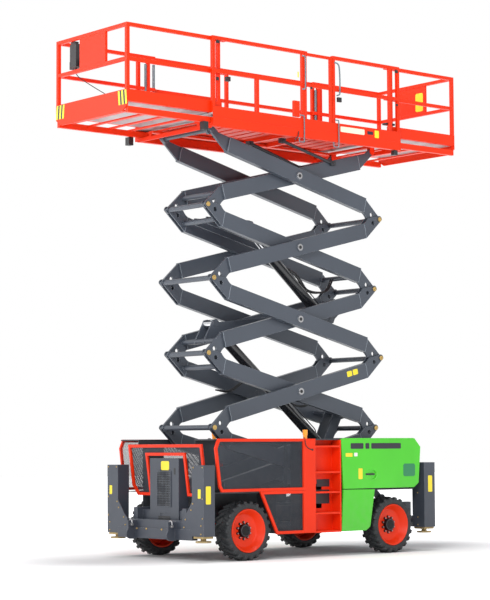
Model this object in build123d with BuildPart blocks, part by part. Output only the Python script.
from build123d import *
import math
import os

# Rough-terrain scissor lift: four-wheel chassis, five-level scissor stack and a platform
# with two roll-out extension decks.  Drawn raised, with both decks rolled out.
# Frame: +X forward (control-box end), +Y machine's left, +Z up, millimetres,
# origin on the ground under the middle of the extended platform.

os.makedirs("parts", exist_ok=True)

# ---------------------------------------------------------------- fits
SEAT = 0.3            # gap left between two pieces that rest on each other
RUNNING = 0.05        # radial clearance of a pin in its bore

# ---------------------------------------------------------------- scissor linkage
ARM_LENGTH = 3480     # pin to pin
LEVELS = 5
LEVEL_RISE = 1075     # height of one level as drawn
BASE_PIN_Z = 800
REAR_PIN_X = -1795
STACK_PITCH = 237     # height of one level when the arms lie flat
BEAM_DEPTH = 230
BEAM_HALF = 45
OUTER_Y = 571         # centre plane of an outer arm
INNER_Y = 441         # centre plane of an inner arm
PIN_R = 30
CENTRE_PIN_R = 40
TUBE_R = 38           # cross tubes between left and right arms
END_SEAM = 340        # from an end pin to where the box beam begins
FORK_GAP = 27         # inside half-width of a fork
TONGUE_HALF = 17
END_TUBE_AT = 300     # cross tube of an inner frame, from its end pin
LOW_FOOT_TUBE = -1230  # extra cross tubes of inner frames 2 and 3, along the arm from its middle
LOW_HEAD_TUBE = 110
HIGH_FOOT_TUBE = 350

LEAN = math.asin(LEVEL_RISE / ARM_LENGTH)
OFFSET_ANGLE = math.asin(STACK_PITCH / ARM_LENGTH)
BEAM_ANGLE = LEAN - OFFSET_ANGLE
HALF_SPAN = math.sqrt(ARM_LENGTH ** 2 - STACK_PITCH ** 2) / 2
END_TUBE = HALF_SPAN - END_TUBE_AT   # along the arm from its middle
PIN_LIFT = STACK_PITCH / 2
FRONT_PIN_X = REAR_PIN_X + ARM_LENGTH * math.cos(LEAN)
CENTRE_X = (REAR_PIN_X + FRONT_PIN_X) / 2
DECK_Z = BASE_PIN_Z + LEVELS * LEVEL_RISE   # platform datum, at its rear pins

# ---------------------------------------------------------------- lift cylinders
CYL_R = 80
ROD_R = 45
CYL_PIN_R = 35
FOOT_EYE_R = 75
ROD_EYE_R = 65
CHEEK = 20            # thickness of a bracket's cheek plate
NARROW_EYE = 95       # inside half-width of the narrow brackets
WIDE_EYE = 130        # inside half-width of the wide brackets
LOWER_FOOT = (-1100, 1600)
LOWER_HEAD = (1080, 3400)
UPPER_FOOT = (-1180, 3547)
UPPER_HEAD = (430, 4897)
LOWER_BARREL = 2400   # foot pin to barrel mouth
LOWER_ROD = 1400      # eye to the rod's inner end
UPPER_BARREL = 1600
UPPER_ROD = 1630
BARREL_FLOOR = 95     # foot pin to the bottom of the bore

# ---------------------------------------------------------------- wheels
WHEEL_Z = 419
WHEEL_Y = 990
FRONT_AXLE_X = 1320
REAR_AXLE_X = -1520
CROWN_R = 395
LUG_R = 415
LUG_ROOT = 360
LUGS = 22
WHEEL_FLATS = 2 * LUGS  # flats round the tyre and the rim, two to a lug
TYRE_HALF = 152
BEAD_R = 290
HUB_R = 82
KINGPIN_Y = 800
KINGPIN_R = 25

# ---------------------------------------------------------------- chassis
RAIL_IN = 526
RAIL_OUT = 616
RAIL_LOW = 520
ROLLER_R = 65
RAIL_TOP = BASE_PIN_Z - ROLLER_R - SEAT
SIDE_Y = 1130         # outside face of the body's side panels
SKIN = 30             # depth of side panels and guard frames
TOP_Z = 1710
SILL_Z = 352
WAIST_Z = 967
WALL_Y = 655          # inside face of the side compartments
TOW_HOLE_X = 2195
TOW_HOLE_Z = 490
TOW_HOLE_R = 24

# ---------------------------------------------------------------- platform
TRACK_LOW = DECK_Z + ROLLER_R + SEAT
TRACK_TOP = DECK_Z + 97
FLOOR_LOW = DECK_Z + 150
FLOOR_TOP = DECK_Z + 180
EXT_FLOOR_LOW = DECK_Z + 187
EXT_FLOOR_TOP = DECK_Z + 200
MAIN_FRONT = 1765
MAIN_REAR = -1970
EXT_END = 3240
FRONT_DECK_TAIL = 1550
REAR_DECK_TAIL = -1800
RAIL_TUBE = 50
TOP_RAIL = DECK_Z + 1265
MID_RAIL = DECK_Z + 785
MAIN_RAIL_Y = 890
EXT_RAIL_Y = 833
EXT_TOE_TOP = DECK_Z + 355

SIDES = (-1, 1)


# ---------------------------------------------------------------- small drawing helpers
def block(x_low, x_high, y_low, y_high, z_low, z_high, mode=Mode.ADD):
    """Rectangular block between six limits."""
    with Locations(((x_low + x_high) / 2, (y_low + y_high) / 2, (z_low + z_high) / 2)):
        Box(x_high - x_low, y_high - y_low, z_high - z_low, mode=mode)


def both_sides(x_low, x_high, y_in, y_out, z_low, z_high, mode=Mode.ADD):
    """The same block on the left and on the right."""
    block(x_low, x_high, y_in, y_out, z_low, z_high, mode)
    block(x_low, x_high, -y_out, -y_in, z_low, z_high, mode)


def side_plate(points, y_low, y_high, mode=Mode.ADD):
    """Plate whose outline is given in X and Z."""
    with BuildSketch(Plane(origin=(0, y_high, 0), x_dir=(1, 0, 0), z_dir=(0, -1, 0))) as face:
        with BuildLine():
            Polyline(*points, close=True)
        make_face()
    extrude(face.sketch, amount=y_high - y_low, mode=mode)


def side_plates(points, y_in, y_out, mode=Mode.ADD):
    """The same side plate on the left and on the right."""
    side_plate(points, y_in, y_out, mode)
    side_plate(points, -y_out, -y_in, mode)


def end_plate(points, x_low, x_high, mode=Mode.ADD):
    """Plate whose outline is given in Y and Z."""
    with BuildSketch(Plane(origin=(x_low, 0, 0), x_dir=(0, 1, 0), z_dir=(1, 0, 0))) as face:
        with BuildLine():
            Polyline(*points, close=True)
        make_face()
    extrude(face.sketch, amount=x_high - x_low, mode=mode)


def cross_rod(x, z, radius, y_low, y_high, mode=Mode.ADD):
    """Round bar lying across the machine."""
    with Locations(Location((x, (y_low + y_high) / 2, z), (90, 0, 0))):
        Cylinder(radius, y_high - y_low, mode=mode)


def upright_rod(x, y, radius, z_low, z_high, mode=Mode.ADD):
    """Round bar standing upright."""
    with Locations((x, y, (z_low + z_high) / 2)):
        Cylinder(radius, z_high - z_low, mode=mode)


# ---------------------------------------------------------------- scissor arms
def runs_rearward(level, inner):
    """True where the arm climbs from the front pin to the rear one."""
    return inner == (level % 2 == 1)


def arm_plane(level, inner, y):
    """Plane of one arm: x runs from its lower pin to its upper pin, y is upward across it."""
    middle = (CENTRE_X, y, BASE_PIN_Z + (level - 0.5) * LEVEL_RISE)
    rise = math.sin(BEAM_ANGLE)
    run = math.cos(BEAM_ANGLE)
    if runs_rearward(level, inner):
        return Plane(origin=middle, x_dir=(-run, 0, rise), z_dir=(0, 1, 0))
    return Plane(origin=middle, x_dir=(run, 0, rise), z_dir=(0, -1, 0))


def arm_point(level, inner, along, up):
    """World X and Z of a point given in the arm's own frame."""
    spot = arm_plane(level, inner, 0).from_local_coords(Vector(along, up, 0))
    return spot.X, spot.Z


def arm_local(level, inner, x, z):
    """A world point in the arm's own frame."""
    spot = arm_plane(level, inner, 0).to_local_coords(Vector(x, 0, z))
    return spot.X, spot.Y


def beam(level, inner, y):
    """Box beam between the two end plates."""
    with BuildSketch(arm_plane(level, inner, y)) as face:
        Rectangle(2 * (HALF_SPAN - END_SEAM), BEAM_DEPTH)
    extrude(face.sketch, amount=BEAM_HALF, both=True)


def end_cheek(level, inner, y, half_thick, end, raised):
    """One end plate of an arm; end is +1 at the upper pin and -1 at the lower pin."""
    pin_along = end * HALF_SPAN
    pin_up = end * PIN_LIFT
    seam = END_SEAM + 20
    top_edge = BEAM_DEPTH / 2 - PIN_LIFT
    low_edge = -BEAM_DEPTH / 2 - PIN_LIFT

    def at(out, up):
        return (pin_along + end * out, pin_up + end * up)

    with BuildSketch(arm_plane(level, inner, y)) as face:
        with BuildLine():
            if raised:
                Line(at(-seam, top_edge), at(-END_SEAM, top_edge))
                ThreePointArc(at(-END_SEAM, top_edge), at(-300, 12), at(-240, 60))
                Line(at(-240, 60), at(-20, 52))
            else:
                Line(at(-seam, top_edge), at(-130, top_edge))
                Line(at(-130, top_edge), at(-20, 52))
            ThreePointArc(at(-20, 52), at(44, 34), at(52, -18))
            Polyline(at(52, -18), at(-END_SEAM, low_edge), at(-seam, low_edge), at(-seam, top_edge))
        make_face()
        if raised:
            with Locations(at(-150, -30)):
                RegularPolygon(34, 12, mode=Mode.SUBTRACT)
    extrude(face.sketch, amount=half_thick, both=True)


def fork_end(level, inner, y):
    """Upper end of an arm: two plates and the pin of the next level."""
    half_plate = (BEAM_HALF - FORK_GAP) / 2
    for side in SIDES:
        end_cheek(level, inner, y + side * (FORK_GAP + half_plate), half_plate, 1, True)
    x, z = arm_point(level, inner, HALF_SPAN, PIN_LIFT)
    cross_rod(x, z, PIN_R, y - BEAM_HALF - 8, y + BEAM_HALF + 8)


def tongue_end(level, inner, y, end, raised):
    """Single middle plate; it has a bore unless it carries a roller."""
    end_cheek(level, inner, y, TONGUE_HALF, end, raised)
    if (level == 1 and inner and end < 0) or (level == LEVELS and not inner and end > 0):
        return
    x, z = arm_point(level, inner, end * HALF_SPAN, end * PIN_LIFT)
    cross_rod(x, z, PIN_R + RUNNING, y - BEAM_HALF, y + BEAM_HALF, Mode.SUBTRACT)


def cheek_plates(level, points, y_in):
    """Pair of bracket cheeks on an inner frame, outlined in the arm's own frame."""
    for side in SIDES:
        with BuildSketch(arm_plane(level, True, side * (y_in + CHEEK / 2))) as face:
            with BuildLine():
                Polyline(*points, close=True)
            make_face()
        extrude(face.sketch, amount=CHEEK / 2, both=True)


def inner_tube(level, along, up, half_length):
    """Cross tube of an inner frame at a point of the arm's own frame."""
    x, z = arm_point(level, True, along, up)
    cross_rod(x, z, TUBE_R, -half_length, half_length)


def draw_arms(level, inner):
    """Left and right arm of one frame with the tubes that join them."""
    mid_y = INNER_Y if inner else OUTER_Y
    is_top = level == LEVELS
    for side in SIDES:
        y = side * mid_y
        beam(level, inner, y)
        tongue_end(level, inner, y, -1, level > 1)
        if is_top:
            tongue_end(level, inner, y, 1, False)
        else:
            fork_end(level, inner, y)
    top_x, top_z = arm_point(level, inner, HALF_SPAN, PIN_LIFT)
    if not is_top:
        cross_rod(top_x, top_z, TUBE_R, BEAM_HALF - mid_y, mid_y - BEAM_HALF)
    centre_z = BASE_PIN_Z + (level - 0.5) * LEVEL_RISE
    if inner:
        for along in (-END_TUBE, END_TUBE):
            inner_tube(level, along, 0, INNER_Y - TONGUE_HALF + 3)
        for side in SIDES:
            cross_rod(CENTRE_X, centre_z, CENTRE_PIN_R + RUNNING, side * INNER_Y - BEAM_HALF,
                      side * INNER_Y + BEAM_HALF, Mode.SUBTRACT)
    else:
        for side in SIDES:
            ends = sorted((side * (INNER_Y - BEAM_HALF), side * OUTER_Y))
            cross_rod(CENTRE_X, centre_z, CENTRE_PIN_R, ends[0], ends[1])
            faces = sorted((side * (OUTER_Y + BEAM_HALF), side * (OUTER_Y + BEAM_HALF + 12)))
            cross_rod(CENTRE_X, centre_z, 62, faces[0], faces[1])


def bracket_pin(level, spot, y_in, capped):
    """Pin through a pair of cheeks, or only its caps outside them."""
    cap_in = y_in + CHEEK
    if capped:
        for side in SIDES:
            faces = sorted((side * cap_in, side * (cap_in + 6)))
            cross_rod(spot[0], spot[1], CYL_PIN_R + 8, faces[0], faces[1])
    else:
        cross_rod(spot[0], spot[1], CYL_PIN_R, -cap_in - 6, cap_in + 6)


for level in range(1, LEVELS + 1):
    for kind, inner in (("outer", False), ("inner", True)):
        with BuildPart() as arms:
            draw_arms(level, inner)
            if kind == "inner" and level == 1:
                # rollers that carry the frame along the chassis rails
                for side in SIDES:
                    axle = sorted((side * (INNER_Y - TONGUE_HALF), side * 605))
                    tread = sorted((side * 535, side * 600))
                    cross_rod(FRONT_PIN_X, BASE_PIN_Z, PIN_R, axle[0], axle[1])
                    cross_rod(FRONT_PIN_X, BASE_PIN_Z, ROLLER_R, tread[0], tread[1])
            if kind == "outer" and level == LEVELS:
                # rollers under the platform's tracks, and the tube between them
                for side in SIDES:
                    tread = sorted((side * 496, side * 546))
                    cross_rod(FRONT_PIN_X, DECK_Z, ROLLER_R, tread[0], tread[1])
                cross_rod(FRONT_PIN_X, DECK_Z, PIN_R, -OUTER_Y - TONGUE_HALF - 6, OUTER_Y + TONGUE_HALF + 6)
            if kind == "inner" and level == 2:
                foot = arm_local(2, True, LOWER_FOOT[0], LOWER_FOOT[1])
                inner_tube(2, LOW_FOOT_TUBE, 0, INNER_Y - BEAM_HALF)
                cheek_plates(2, [(-END_TUBE - 38, 30), (-END_TUBE + 36, 62), (LOW_FOOT_TUBE + 30, 50),
                                 (LOW_FOOT_TUBE + 80, -60), (foot[0] + 75, foot[1] + 20),
                                 (foot[0] + 50, foot[1] - 60), (foot[0] - 40, foot[1] - 66),
                                 (foot[0] - 78, foot[1] + 10), (LOW_FOOT_TUBE - 100, -80),
                                 (-END_TUBE + 6, -30)], NARROW_EYE)
                bracket_pin(2, LOWER_FOOT, NARROW_EYE, False)
            if kind == "inner" and level == 3:
                head = arm_local(3, True, LOWER_HEAD[0], LOWER_HEAD[1])
                inner_tube(3, LOW_HEAD_TUBE, 0, INNER_Y - BEAM_HALF)
                cheek_plates(3, [(-END_TUBE - 54, -20), (-END_TUBE - 4, 60), (head[0] - 70, head[1] + 20),
                                 (head[0] - 30, head[1] + 68), (head[0] + 40, head[1] + 64),
                                 (head[0] + 80, head[1] + 10), (LOW_HEAD_TUBE + 40, 50),
                                 (LOW_HEAD_TUBE + 40, -30), (-END_TUBE + 56, -50)], NARROW_EYE)
                bracket_pin(3, LOWER_HEAD, NARROW_EYE, True)
                foot = arm_local(3, True, UPPER_FOOT[0], UPPER_FOOT[1])
                inner_tube(3, HIGH_FOOT_TUBE, 0, INNER_Y - BEAM_HALF)
                cheek_plates(3, [(HIGH_FOOT_TUBE - 40, 30), (HIGH_FOOT_TUBE + 10, 60), (END_TUBE + 14, 60),
                                 (END_TUBE + 44, -20), (foot[0] + 90, foot[1] - 10),
                                 (foot[0] + 45, foot[1] - 66), (foot[0] - 45, foot[1] - 66),
                                 (foot[0] - 90, foot[1] - 10), (HIGH_FOOT_TUBE, -50)], WIDE_EYE)
                bracket_pin(3, UPPER_FOOT, WIDE_EYE, False)
            if kind == "inner" and level == 4:
                head = arm_local(4, True, UPPER_HEAD[0], UPPER_HEAD[1])
                cheek_plates(4, [(-120, -30), (-110, 40), (head[0] - 80, head[1] + 30),
                                 (head[0] - 30, head[1] + 68), (head[0] + 40, head[1] + 64),
                                 (END_TUBE + 24, 50), (END_TUBE + 44, -20), (END_TUBE - 36, -45)], WIDE_EYE)
                bracket_pin(4, UPPER_HEAD, WIDE_EYE, True)
        arms.part.label = f"{kind}_arm_{level}"
        export_step(arms.part, f"parts/{kind}_arm_{level}.step")


# ---------------------------------------------------------------- lift cylinders
def cylinder_plane(foot, head):
    """Plane across a cylinder at its foot pin, facing the head."""
    run = head[0] - foot[0]
    rise = head[1] - foot[1]
    return Plane(origin=(foot[0], 0, foot[1]), x_dir=(0, 1, 0), z_dir=(run, 0, rise))


def cylinder_length(foot, head):
    """Foot pin to head pin as drawn."""
    return math.hypot(head[0] - foot[0], head[1] - foot[1])


def draw_barrel(foot, head, length, eye_half):
    """Barrel with its foot eye and an open bore."""
    axis = cylinder_plane(foot, head)
    with BuildSketch(axis.offset(50)) as wall:
        Circle(CYL_R)
    extrude(wall.sketch, amount=length - 50)
    cross_rod(foot[0], foot[1], FOOT_EYE_R, SEAT - eye_half, eye_half - SEAT)
    cross_rod(foot[0], foot[1], CYL_PIN_R + RUNNING, -eye_half, eye_half, Mode.SUBTRACT)
    with BuildSketch(axis.offset(BARREL_FLOOR)) as bore:
        Circle(ROD_R + RUNNING)
    extrude(bore.sketch, amount=length, mode=Mode.SUBTRACT)


def draw_rod(foot, head, length, eye_half):
    """Rod with the eye that sits between the head bracket's cheeks."""
    reach = cylinder_length(foot, head)
    with BuildSketch(cylinder_plane(foot, head).offset(reach - length)) as bar:
        Circle(ROD_R)
    extrude(bar.sketch, amount=length)
    cross_rod(head[0], head[1], ROD_EYE_R, SEAT - eye_half, eye_half - SEAT)


CYLINDERS = (
    # name, foot pin, head pin, barrel, rod, foot eye, head eye
    ("lower", LOWER_FOOT, LOWER_HEAD, LOWER_BARREL, LOWER_ROD, NARROW_EYE, NARROW_EYE),
    ("upper", UPPER_FOOT, UPPER_HEAD, UPPER_BARREL, UPPER_ROD, WIDE_EYE, WIDE_EYE),
)
for name, foot, head, barrel_length, rod_length, foot_half, head_half in CYLINDERS:
    with BuildPart() as barrel:
        draw_barrel(foot, head, barrel_length, foot_half)
    barrel.part.label = f"{name}_barrel"
    export_step(barrel.part, f"parts/{name}_barrel.step")
    with BuildPart() as rod:
        draw_rod(foot, head, rod_length, head_half)
    rod.part.label = f"{name}_rod"
    export_step(rod.part, f"parts/{name}_rod.step")


# ---------------------------------------------------------------- wheels
with BuildPart() as lug:
    # one tread lug: x away from the axle, y round the tyre, z outward along the axle
    with BuildSketch(Plane.YZ.offset(LUG_ROOT)) as pad:
        with BuildLine():
            Polyline((-52, 6), (-6, 6), (46, 146), (-8, 146), close=True)
        make_face()
    extrude(pad.sketch, amount=LUG_R - LUG_ROOT)

with BuildPart() as inner_lug:
    mirror(lug.part, about=Plane.XY)

# each row is a place along the axle, outward from the wheel's middle, and a radius
TYRE_SECTIONS = ((-128, 309), (-TYRE_HALF, 330), (-118, CROWN_R), (118, CROWN_R), (TYRE_HALF, 330),
                 (128, 309))
BARREL_SECTIONS = ((-140, BEAD_R - SEAT), (128 + SEAT, BEAD_R - SEAT))
FLANGE_SECTIONS = ((128 + SEAT, 307), (146, 307))
DISH_SECTIONS = ((32, 190), (112, 262), (134, 264), (147, 302))
BACK_SECTIONS = ((-141, 276), (20, 276))


def wheel_plane(x, side):
    """Plane through a wheel's axle: x runs outward along the axle, y is away from it."""
    return Plane(origin=(x, side * WHEEL_Y, WHEEL_Z), x_dir=(0, side, 0), z_dir=(side, 0, 0))


def spin_profile(points, x, side, mode=Mode.ADD):
    """Turned shape about a wheel's axle."""
    with BuildSketch(wheel_plane(x, side)) as face:
        with BuildLine():
            Polyline(*points, close=True)
        make_face()
    revolve(face.sketch, axis=Axis((x, side * WHEEL_Y, WHEEL_Z), (0, 1, 0)), mode=mode)


def flat_ring(sections, x, side, mode=Mode.ADD):
    """Many-sided body about a wheel's axle, through its sections."""
    faces = []
    for out, radius in sections:
        with BuildSketch(Plane(origin=(x, side * (WHEEL_Y + out), WHEEL_Z), x_dir=(1, 0, 0),
                               z_dir=(0, 1, 0))) as ring:
            RegularPolygon(radius, WHEEL_FLATS)
        faces.append(ring.sketch)
    loft(faces, ruled=True, mode=mode)


WHEELS = (
    # name, axle X, side
    ("fl", FRONT_AXLE_X, 1),
    ("fr", FRONT_AXLE_X, -1),
    ("rl", REAR_AXLE_X, 1),
    ("rr", REAR_AXLE_X, -1),
)
for name, axle_x, side in WHEELS:
    with BuildPart() as tyre:
        flat_ring(TYRE_SECTIONS, axle_x, side)
        flat_ring(((-TYRE_HALF, BEAD_R), (TYRE_HALF, BEAD_R)), axle_x, side, Mode.SUBTRACT)
        with Locations(Plane(origin=(axle_x, side * WHEEL_Y, WHEEL_Z), x_dir=(0, 0, 1), z_dir=(0, side, 0))):
            with PolarLocations(0, LUGS):
                add(lug.part)
            with PolarLocations(0, LUGS, start_angle=180 / LUGS):
                add(inner_lug.part)
    tyre.part.label = f"tyre_{name}"
    export_step(tyre.part, f"parts/tyre_{name}.step")
    with BuildPart() as rim:
        flat_ring(BARREL_SECTIONS, axle_x, side)
        flat_ring(FLANGE_SECTIONS, axle_x, side)
        flat_ring(DISH_SECTIONS, axle_x, side, Mode.SUBTRACT)
        flat_ring(BACK_SECTIONS, axle_x, side, Mode.SUBTRACT)
        hub = sorted((side * (WHEEL_Y + 10), side * (WHEEL_Y + 40)))
        cross_rod(axle_x, WHEEL_Z, HUB_R + RUNNING, hub[0], hub[1], Mode.SUBTRACT)
    rim.part.label = f"rim_{name}"
    export_step(rim.part, f"parts/rim_{name}.step")


# ---------------------------------------------------------------- axles and knuckles
HUB_PROFILE = ((-160, 0), (-160, 70), (0, 70), (0, 150), (20 - SEAT, 150), (20 - SEAT, HUB_R), (80, HUB_R),
               (80, 0))
with BuildPart() as axles:
    block(FRONT_AXLE_X - 55, FRONT_AXLE_X + 55, -740, 740, WHEEL_Z - 60, WHEEL_Z + 60)
    for side in SIDES:
        for z_low in (WHEEL_Z - 120, WHEEL_Z + 95):
            span = sorted((side * 715, side * 840))
            block(FRONT_AXLE_X - 45, FRONT_AXLE_X + 45, span[0], span[1], z_low, z_low + 25)
        span = sorted((side * 715, side * 740))
        block(FRONT_AXLE_X - 45, FRONT_AXLE_X + 45, span[0], span[1], WHEEL_Z - 120, WHEEL_Z + 120)
        upright_rod(FRONT_AXLE_X, side * KINGPIN_Y, KINGPIN_R, WHEEL_Z - 126, WHEEL_Z + 126)
        spin_profile(HUB_PROFILE, REAR_AXLE_X, side)
    block(REAR_AXLE_X - 55, REAR_AXLE_X + 55, -850, 850, WHEEL_Z - 60, WHEEL_Z + 60)
    for axle_x in (FRONT_AXLE_X, REAR_AXLE_X):
        both_sides(axle_x - 50, axle_x + 50, 536, 606, WHEEL_Z + 60, RAIL_LOW)
        # differential housing
        with BuildSketch(Plane(origin=(axle_x, 0, WHEEL_Z), x_dir=(0, 1, 0), z_dir=(1, 0, 0))) as half:
            with BuildLine():
                Polyline((-150, 0), (-150, 70), (-60, 135), (60, 135), (150, 70), (150, 0), close=True)
            make_face()
        revolve(half.sketch, axis=Axis((axle_x, 0, WHEEL_Z), (0, 1, 0)))
axles.part.label = "axles"
export_step(axles.part, "parts/axles.step")

for name, side in (("left", 1), ("right", -1)):
    with BuildPart() as knuckle:
        span = sorted((side * 762, side * 836))
        block(FRONT_AXLE_X - 48, FRONT_AXLE_X + 48, span[0], span[1], WHEEL_Z - 95 + SEAT, WHEEL_Z + 95 - SEAT)
        spin_profile(HUB_PROFILE, FRONT_AXLE_X, side)
        upright_rod(FRONT_AXLE_X, side * KINGPIN_Y, KINGPIN_R + RUNNING, WHEEL_Z - 130, WHEEL_Z + 130,
                    Mode.SUBTRACT)
    knuckle.part.label = f"knuckle_{name}"
    export_step(knuckle.part, f"parts/knuckle_{name}.step")


# ---------------------------------------------------------------- chassis frame
with BuildPart() as chassis_frame:
    both_sides(-2410, 2030, RAIL_IN, RAIL_OUT, RAIL_LOW, RAIL_TOP)
    block(1800, 1929, -RAIL_IN, RAIL_IN, RAIL_LOW, 700)
    block(-2100, -1950, -RAIL_IN, RAIL_IN, RAIL_LOW, 700)
    block(-2400, -2200, -870, 870, 360, RAIL_LOW)
    for x in (-700, 300):
        block(x, x + 100, -RAIL_OUT, RAIL_OUT, 360, 450)
        both_sides(x, x + 100, RAIL_IN, RAIL_OUT, 450, RAIL_LOW)
    both_sides(-950, 770, RAIL_OUT, 1095, 360, 372)
    both_sides(-455, 43, 941, 1095, 360, 372, Mode.SUBTRACT)
    # front cross beam with its two towing lugs
    block(2030, 2130, -870, 870, 300, 450)
    block(2030, 2110, -870, 870, 450, 570)
    for side in SIDES:
        span = sorted((side * 455, side * 485))
        block(2110, 2196, span[0], span[1], 285, 550)
        block(2196, 2250, span[0], span[1], 365, 550)
        cross_rod(2196, 365, 80, span[0], span[1])
        cross_rod(TOW_HOLE_X, TOW_HOLE_Z, TOW_HOLE_R, span[0], span[1], Mode.SUBTRACT)
    # clevis of the lowest outer arms
    for side in SIDES:
        for inset in (-1, 1):
            cheek = sorted((side * OUTER_Y + inset * FORK_GAP, side * OUTER_Y + inset * BEAM_HALF))
            block(REAR_PIN_X - 62, REAR_PIN_X + 62, cheek[0], cheek[1], RAIL_TOP, BASE_PIN_Z)
            cross_rod(REAR_PIN_X, BASE_PIN_Z, 62, cheek[0], cheek[1])
        cross_rod(REAR_PIN_X, BASE_PIN_Z, PIN_R, side * OUTER_Y - BEAM_HALF, side * OUTER_Y + BEAM_HALF)
chassis_frame.part.label = "chassis_frame"
export_step(chassis_frame.part, "parts/chassis_frame.step")

# ---------------------------------------------------------------- side compartments
SHEET = 5
GUARD_LEAN = math.atan2(75, 555)
FRAME_BAR = 42


def guard_front(depth):
    """Leaning plane of the front guard, set back by depth."""
    normal = (math.cos(GUARD_LEAN), 0, -math.sin(GUARD_LEAN))
    return Plane(origin=(1845, 0, 1045), x_dir=(0, 1, 0), z_dir=normal).offset(-depth)


# the compartments stop at either side of the ladders, where a plain wall and a step carry on
RECESS_REAR = -464
RECESS_FRONT = 40
with BuildPart() as body_shell:
    # front compartments
    both_sides(RECESS_FRONT, 770, WALL_Y, WALL_Y + 10, 372, 955)
    side_plates([(RECESS_FRONT, 955), (1823, 955), (1922, TOP_Z - 20), (RECESS_FRONT, TOP_Z - 20)],
                WALL_Y, WALL_Y + 10)
    both_sides(RECESS_FRONT, 1920, WALL_Y, 1095, TOP_Z - 20, TOP_Z)
    both_sides(760, 1790, WALL_Y, 1095, 943, 955)
    both_sides(760, 770, WALL_Y + 10, 1095, 372, 943)
    both_sides(240, 250, WALL_Y + 10, 1095, 955, TOP_Z - 20)
    for side in SIDES:
        # leaning bulkhead that carries the front guard
        with BuildSketch(guard_front(SHEET + 10)) as bulkhead:
            with Locations((side * (WALL_Y + 1095) / 2, 285)):
                Rectangle(1095 - WALL_Y, 770)
        extrude(bulkhead.sketch, amount=10)
    # wall and top step behind the ladders
    both_sides(RECESS_REAR + SEAT, RECESS_FRONT - SEAT, WALL_Y, WALL_Y + 10, 372, TOP_Z - 20 - SEAT)
    both_sides(RECESS_REAR + SEAT, RECESS_FRONT - SEAT, WALL_Y, 1095, TOP_Z - 20, TOP_Z)
    # rear compartments
    both_sides(-950, RECESS_REAR, WALL_Y, WALL_Y + 10, 372, 955)
    both_sides(-1990, RECESS_REAR, WALL_Y, WALL_Y + 10, 955, TOP_Z - 20)
    both_sides(-1990, RECESS_REAR, WALL_Y, 1095, TOP_Z - 20, TOP_Z)
    both_sides(-1990, -470, 1095, SIDE_Y - SKIN - SEAT, TOP_Z - 20, TOP_Z)
    both_sides(-1990, -940, WALL_Y, 1095, 943, 955)
    both_sides(-950, -940, WALL_Y + 10, 1095, 372, 943)
    both_sides(-1990, -1980, WALL_Y + 10, 1095, 955, TOP_Z - 20)
body_shell.part.label = "body_shell"
export_step(body_shell.part, "parts/body_shell.step")

# ---------------------------------------------------------------- guards
UPPER_GUARD = ((234, 1713), (1861, 1713), (1920, 1583), (1848, 1043), (1800, WAIST_Z), (234, WAIST_Z))
LOWER_GUARD = ((1100, WAIST_Z - 2), (790, SILL_Z), (234, SILL_Z), (234, WAIST_Z - 2))
FRONT_GUARD = ((-860, 600), (860, 600), (860, 0), (750, -141), (420, -141), (420, 439), (-420, 439),
               (-420, -141), (-750, -141), (-860, 0))
def guard_frame(plane, points, depth):
    """Bar frame round an outline."""
    with BuildSketch(plane) as face:
        with BuildLine():
            Polyline(*points, close=True)
        make_face()
        offset(amount=-FRAME_BAR, kind=Kind.INTERSECTION, mode=Mode.SUBTRACT)
    extrude(face.sketch, amount=depth)


def guard_sheet(plane, points, depth):
    """Sheet behind a bar frame."""
    with BuildSketch(plane) as face:
        with BuildLine():
            Polyline(*points, close=True)
        make_face()
        offset(amount=-FRAME_BAR / 2, kind=Kind.INTERSECTION, mode=Mode.REPLACE)
    extrude(face.sketch, amount=depth)


def side_plane(side, y_in):
    """Upright plane on one side of the machine, facing right, whose extrusion runs from y_in outward."""
    y_start = max(side * y_in, side * (y_in + SKIN))
    return Plane(origin=(0, y_start, 0), x_dir=(1, 0, 0), z_dir=(0, -1, 0))


with BuildPart() as guard_frames:
    for side in SIDES:
        for points in (UPPER_GUARD, LOWER_GUARD):
            guard_frame(side_plane(side, SIDE_Y - SKIN), points, SKIN)
    guard_frame(guard_front(0), FRONT_GUARD, SKIN)
guard_frames.part.label = "guard_frames"
export_step(guard_frames.part, "parts/guard_frames.step")

with BuildPart() as guard_mesh:
    for side in SIDES:
        y_start = max(side * (SIDE_Y - SKIN), side * (SIDE_Y - SKIN - SHEET))
        back = Plane(origin=(0, y_start, 0), x_dir=(1, 0, 0), z_dir=(0, -1, 0))
        for points in (UPPER_GUARD, LOWER_GUARD):
            guard_sheet(back, points, SHEET)
    guard_sheet(guard_front(SHEET), FRONT_GUARD, SHEET)
guard_mesh.part.label = "guard_mesh"
export_step(guard_mesh.part, "parts/guard_mesh.step")

# ---------------------------------------------------------------- ladders, panels, covers
with BuildPart() as ladder_columns:
    both_sides(40, 234, 1095, SIDE_Y, SILL_Z, TOP_Z)
    both_sides(34, 46, 950, 1095, 372, TOP_Z - 20)
    both_sides(-464, -440, 950, SIDE_Y, 372, TOP_Z - 20)
    both_sides(-452, 40, 938, 950, 372, TOP_Z - 20)
    for z in (1585, 1208, 917, 614, 347):
        both_sides(-452, 40, 944, SIDE_Y + 5, z, z + 25)
    for z_low, z_high in ((695, 904), (942, 1048)):
        both_sides(-240, 34, 930, 960, z_low, z_high, Mode.SUBTRACT)
ladder_columns.part.label = "ladder_columns"
export_step(ladder_columns.part, "parts/ladder_columns.step")

with BuildPart() as lower_side_panels:
    side_plates([(-509, 961), (-1145, 955), (-1045, 409), (-962, SILL_Z), (-470, SILL_Z)], SIDE_Y - SKIN, SIDE_Y)
    both_sides(-935, -480, 1060, SIDE_Y - SKIN, 372, 384)
lower_side_panels.part.label = "lower_side_panels"
export_step(lower_side_panels.part, "parts/lower_side_panels.step")

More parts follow.
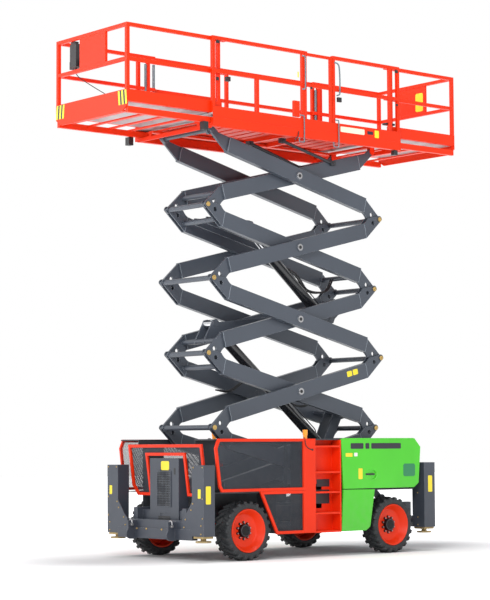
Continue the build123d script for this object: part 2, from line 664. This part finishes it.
HINGE_R = 7
COVER = ((-470, TOP_Z), (-1993, TOP_Z), (-2116, 1582), (-2069, 1039), (-1971, WAIST_Z + 5), (-510, WAIST_Z + 5))
for name, side in (("left", 1), ("right", -1)):
    with BuildPart() as cover:
        span = sorted((side * (SIDE_Y - SKIN), side * SIDE_Y))
        side_plate(COVER, span[0], span[1])
        dish = sorted((side * (SIDE_Y - 14), side * (SIDE_Y + 1)))
        cross_rod(-1111, 1175, 66, dish[0], dish[1], Mode.SUBTRACT)
        grip = sorted((side * (SIDE_Y - 16), side * (SIDE_Y - 2)))
        block(-1165, -1057, grip[0], grip[1], 1164, 1186)
        # rolled hinge edge along the top
        with Locations(Location((-1230, side * SIDE_Y, TOP_Z), (0, 90, 0))):
            Cylinder(HINGE_R, 1480)
    cover.part.label = f"engine_cover_{name}"
    export_step(cover.part, f"parts/engine_cover_{name}.step")

with BuildPart() as engine_block:
    block(-1900, -620, 670, 1080, 955, 1600)
engine_block.part.label = "engine_block"
export_step(engine_block.part, "parts/engine_block.step")

with BuildPart() as power_module:
    block(1765, 1930, -335, 335, 700, 1440)
    block(1930, 1945, -335, 335, 530, 1440)
    for row in range(9):
        block(1936, 1946, -90, 90, 960 + row * 42, 984 + row * 42, Mode.SUBTRACT)
    block(1936, 1946, -90, 90, 610, 660, Mode.SUBTRACT)
power_module.part.label = "power_module"
export_step(power_module.part, "parts/power_module.step")

with BuildPart() as beacons:
    for side in SIDES:
        upright_rod(170, side * 1050, 30, TOP_Z, 1765)
        upright_rod(170, side * 1050, 36, 1765, 1840)
beacons.part.label = "beacons"
export_step(beacons.part, "parts/beacons.step")

# ---------------------------------------------------------------- outriggers
OUTRIGGERS = (
    # name, low X, high X, side
    ("front_left", 1930, 2130, 1),
    ("front_right", 1930, 2130, -1),
    ("rear_left", -2420, -2190, 1),
    ("rear_right", -2420, -2190, -1),
)
HOUSING_IN = 870
HOUSING_LOW = 360
HOUSING_TOP = 1345
WALL = 12
with BuildPart() as outrigger_housings:
    for name, x_low, x_high, side in OUTRIGGERS:
        span = sorted((side * HOUSING_IN, side * SIDE_Y))
        bore = sorted((side * (HOUSING_IN + WALL), side * (SIDE_Y - WALL)))
        block(x_low, x_high, span[0], span[1], HOUSING_LOW, HOUSING_TOP)
        block(x_low + WALL, x_high - WALL, bore[0], bore[1], HOUSING_LOW, HOUSING_TOP - WALL, Mode.SUBTRACT)
    for side in SIDES:
        # web plates between a front housing and the cross beam
        end_plate([(side * HOUSING_IN, 838), (side * 712, 634), (side * 640, 575), (side * 640, 450 + SEAT),
                   (side * HOUSING_IN, 450 + SEAT)], 2110 + SEAT, 2130)
outrigger_housings.part.label = "outrigger_housings"
export_step(outrigger_housings.part, "parts/outrigger_housings.step")

for name, x_low, x_high, side in OUTRIGGERS:
    with BuildPart() as leg:
        mid_x = (x_low + x_high) / 2
        mid_y = side * (HOUSING_IN + SIDE_Y) / 2
        half_x = (x_high - x_low) / 2 - WALL - SEAT
        block(mid_x - half_x, mid_x + half_x, mid_y - 110, mid_y + 110, 330, 1250)
        upright_rod(mid_x, mid_y, 40, 296, 330)
        upright_rod(mid_x, mid_y, 110, 272, 296)
    leg.part.label = f"outrigger_{name}"
    export_step(leg.part, f"parts/outrigger_{name}.step")


# ---------------------------------------------------------------- platform
with BuildPart() as platform_frame:
    both_sides(-1840, MAIN_FRONT - 5, 490, 601, TRACK_LOW, TRACK_TOP)
    block(1745, MAIN_FRONT, -868, 868, DECK_Z - 35, DECK_Z + 25)
    block(MAIN_REAR, -1930, -868, 868, DECK_Z - 35, DECK_Z + 25)
    both_sides(1745, MAIN_FRONT - 5, 541, 601, DECK_Z + 25, TRACK_LOW)
    both_sides(MAIN_REAR, -1930, 541, 601, DECK_Z + 25, TRACK_TOP)
    both_sides(-1930, -1840, 541, 601, TRACK_LOW, TRACK_TOP)
    both_sides(MAIN_REAR, MAIN_FRONT, 868, 935, DECK_Z - 20, DECK_Z + 110)
    both_sides(MAIN_REAR, MAIN_FRONT, 917, 929, DECK_Z + 110, DECK_Z + 270)
    for x_low, x_high in ((-520, -460), (-60, 0)):
        block(x_low, x_high, -917, 917, TRACK_TOP, FLOOR_LOW)
        block(x_low, x_high, -868, 868, TRACK_LOW, TRACK_TOP)
    # clevis for the top inner arms
    block(-1840, -1750, -790, 790, TRACK_LOW, TRACK_TOP)
    for side in SIDES:
        for inset in (-1, 1):
            cheek = sorted((side * INNER_Y + inset * 20, side * INNER_Y + inset * 38))
            block(REAR_PIN_X - 45, REAR_PIN_X + 45, cheek[0], cheek[1], DECK_Z, TRACK_LOW)
            cross_rod(REAR_PIN_X, DECK_Z, 45, cheek[0], cheek[1])
        cross_rod(REAR_PIN_X, DECK_Z, PIN_R, side * INNER_Y - 38, side * INNER_Y + 38)
platform_frame.part.label = "platform_frame"
export_step(platform_frame.part, "parts/platform_frame.step")

with BuildPart() as platform_floor:
    block(MAIN_REAR, MAIN_FRONT, -917, 917, FLOOR_LOW, FLOOR_TOP)
platform_floor.part.label = "platform_floor"
export_step(platform_floor.part, "parts/platform_floor.step")


def rail_post(x, side_y, z_low, z_high):
    """Upright of square tube centred on a rail line."""
    half = RAIL_TUBE / 2
    block(x - half, x + half, side_y - half, side_y + half, z_low, z_high)


def long_rail(x_low, x_high, side_y, z):
    """Fore-and-aft square tube centred on a rail line."""
    half = RAIL_TUBE / 2
    block(x_low, x_high, side_y - half, side_y + half, z - half, z + half)


GATE_FRONT = 0
GATE_REAR = -563
GATE_PIN_X = -34
GATE_PIN_R = 8
GATE_HALF = 20        # half the gate's thickness, and the radius of its hinge post
with BuildPart() as platform_rails:
    for side in SIDES:
        y = side * MAIN_RAIL_Y
        if side > 0:
            runs = ((MAIN_REAR, GATE_REAR), (GATE_FRONT, MAIN_FRONT))
        else:
            runs = ((MAIN_REAR, MAIN_FRONT),)
        for x_low, x_high in runs:
            long_rail(x_low, x_high, y, TOP_RAIL)
            long_rail(x_low, x_high, y, MID_RAIL)
        for x in (MAIN_FRONT - 25, 25, GATE_REAR - 25, -1775, MAIN_REAR + 25):
            rail_post(x, y, FLOOR_TOP, TOP_RAIL)
        rail_post(917, y, FLOOR_TOP, MID_RAIL)
    # lugs that carry the gate
    block(-58, 0, MAIN_RAIL_Y - 20, MAIN_RAIL_Y + 20, FLOOR_TOP, FLOOR_TOP + 14)
    block(-58, 0, MAIN_RAIL_Y - 20, MAIN_RAIL_Y + 20, TOP_RAIL + 5 + SEAT, TOP_RAIL + 25)
    upright_rod(GATE_PIN_X, MAIN_RAIL_Y, GATE_PIN_R, FLOOR_TOP + 10, FLOOR_TOP + 34)
platform_rails.part.label = "platform_rails"
export_step(platform_rails.part, "parts/platform_rails.step")

with BuildPart() as entry_gate:
    gate_low = FLOOR_TOP + 14 + SEAT
    gate_top = TOP_RAIL + 5
    upright_rod(GATE_PIN_X, MAIN_RAIL_Y, GATE_HALF, gate_low, gate_top)
    block(-555, -515, MAIN_RAIL_Y - GATE_HALF, MAIN_RAIL_Y + GATE_HALF, gate_low, gate_top)
    for z_low in (gate_low, MID_RAIL - 20, gate_top - 40):
        block(-555, GATE_PIN_X, MAIN_RAIL_Y - GATE_HALF, MAIN_RAIL_Y + GATE_HALF, z_low, z_low + 40)
    upright_rod(GATE_PIN_X, MAIN_RAIL_Y, GATE_PIN_R + RUNNING, gate_low - 1, gate_low + 26, Mode.SUBTRACT)
entry_gate.part.label = "entry_gate"
export_step(entry_gate.part, "parts/entry_gate.step")


# ---------------------------------------------------------------- extension decks
def deck_block(end, x_near, x_far, y_low, y_high, z_low, z_high, mode=Mode.ADD):
    """Block of an extension deck; X is given as a distance from the machine's middle."""
    x_low, x_high = sorted((end * x_near, end * x_far))
    block(x_low, x_high, y_low, y_high, z_low, z_high, mode)


def draw_deck(end, tail, bars):
    """Floor, under-frame, toe channels and end plate of one extension deck."""
    for side in SIDES:
        span = sorted((side * 800, side * 858))
        deck_block(end, tail, EXT_END - 20, span[0], span[1], DECK_Z + 32, DECK_Z + 118)
        deck_block(end, tail, EXT_END - 20, span[0], span[1], EXT_FLOOR_TOP, EXT_TOE_TOP)
    for distance in bars:
        deck_block(end, distance, distance + 60, -800, 800, TRACK_TOP + SEAT, DECK_Z + 118)
    deck_block(end, tail, EXT_END - 20, -858, 858, EXT_FLOOR_LOW, EXT_FLOOR_TOP)
    plate = sorted((end * (EXT_END - 20), end * EXT_END))
    end_plate([(-862, EXT_TOE_TOP), (862, EXT_TOE_TOP), (862, DECK_Z + 130), (740, DECK_Z + 50),
               (-740, DECK_Z + 50), (-862, DECK_Z + 130)], plate[0], plate[1])


def draw_deck_rails(end, tail):
    """Guard rails of one extension deck."""
    half = RAIL_TUBE / 2
    for side in SIDES:
        y = side * EXT_RAIL_Y
        for z in (TOP_RAIL, MID_RAIL):
            deck_block(end, tail - 75, EXT_END, y - half, y + half, z - half, z + half)
        deck_block(end, EXT_END - RAIL_TUBE, EXT_END, y - half, y + half, EXT_TOE_TOP, TOP_RAIL)
        deck_block(end, tail + 25, tail + 75, y - half, y + half, EXT_TOE_TOP, MID_RAIL)
        deck_block(end, tail + 25, tail + 75, y - half, y + half, MID_RAIL, TOP_RAIL)
    for z in (TOP_RAIL, MID_RAIL):
        deck_block(end, EXT_END - RAIL_TUBE, EXT_END, -EXT_RAIL_Y, EXT_RAIL_Y, z - half, z + half)


DECKS = (
    # name, end, tail, cross bars
    ("front_deck", 1, FRONT_DECK_TAIL, (1600, 1950, 2300, 2650, 3000)),
    ("rear_deck", -1, -REAR_DECK_TAIL, (1850, 2200, 2550, 2900)),
)
for name, end, tail, bars in DECKS:
    with BuildPart() as deck:
        draw_deck(end, tail, bars)
    deck.part.label = name
    export_step(deck.part, f"parts/{name}.step")
    with BuildPart() as deck_rails:
        draw_deck_rails(end, tail)
        if end > 0:
            block(3195, 3235, -280, 343, MID_RAIL + 25, TOP_RAIL - 25)
        else:
            block(-3235, -3195, -330, 260, MID_RAIL + 25, TOP_RAIL - 25)
    deck_rails.part.label = f"{name}_rails"
    export_step(deck_rails.part, f"parts/{name}_rails.step")

# the control cable hangs from the box down to the deck; each point is X, Y, Z
CABLE_R = 6
CABLE_ROUTE = (
    (3100, -560, DECK_Z + 845),
    (3100, -560, DECK_Z + 805),
    (3080, -562, DECK_Z + 770),
    (3020, -566, DECK_Z + 735),
    (2900, -573, DECK_Z + 688),
    (2740, -581, DECK_Z + 628),
    (2560, -590, DECK_Z + 565),
    (2385, -599, DECK_Z + 506),
    (2205, -608, DECK_Z + 450),
    (2030, -616, DECK_Z + 400),
    (1880, -623, DECK_Z + 359),
    (1800, -640, DECK_Z + 330),
    (1742, -664, DECK_Z + 300),
    (1702, -694, DECK_Z + 272),
    (1682, -732, DECK_Z + 256),
    (1682, -784, DECK_Z + 256),
)


def bend_radii(route):
    """The largest arc that each corner of a route allows."""
    runs = [Vector(*second) - Vector(*first) for first, second in zip(route, route[1:])]
    radii = []
    for before, after in zip(runs, runs[1:]):
        half_turn = math.radians(before.get_angle(after)) / 2
        radii.append(0.45 * min(before.length, after.length) / math.tan(half_turn))
    return radii


CABLE_RADII = bend_radii(CABLE_ROUTE)
print("control cable radii", [round(radius) for radius in CABLE_RADII])
with BuildPart() as control_cable:
    with BuildLine() as cable_line:
        FilletPolyline(*CABLE_ROUTE, radius=CABLE_RADII)
    with BuildSketch(Plane(origin=CABLE_ROUTE[0], z_dir=cable_line.line % 0)):
        Circle(CABLE_R)
    sweep(path=cable_line.line)
print("control cable length", round(control_cable.part.volume / (math.pi * CABLE_R ** 2)))
control_cable.part.label = "control_cable"
export_step(control_cable.part, "parts/control_cable.step")

with BuildPart() as control_box:
    block(3125, 3190, -587, -435, MID_RAIL + 90, TOP_RAIL - 60)
    block(3010, 3125, -690, -350, DECK_Z + 870, DECK_Z + 980)
    block(3125, 3190, -560, -460, TOP_RAIL - 60, TOP_RAIL - 25)
    upright_rod(3060, -620, 18, DECK_Z + 980, DECK_Z + 1010)
    # gland under the box, and the one on the toe channel where the cable goes in
    upright_rod(CABLE_ROUTE[0][0], CABLE_ROUTE[0][1], 14, CABLE_ROUTE[0][2], DECK_Z + 870)
    cross_rod(CABLE_ROUTE[-1][0], CABLE_ROUTE[-1][2], 16, -800 + SEAT, CABLE_ROUTE[-1][1])
control_box.part.label = "control_box"
export_step(control_box.part, "parts/control_box.step")
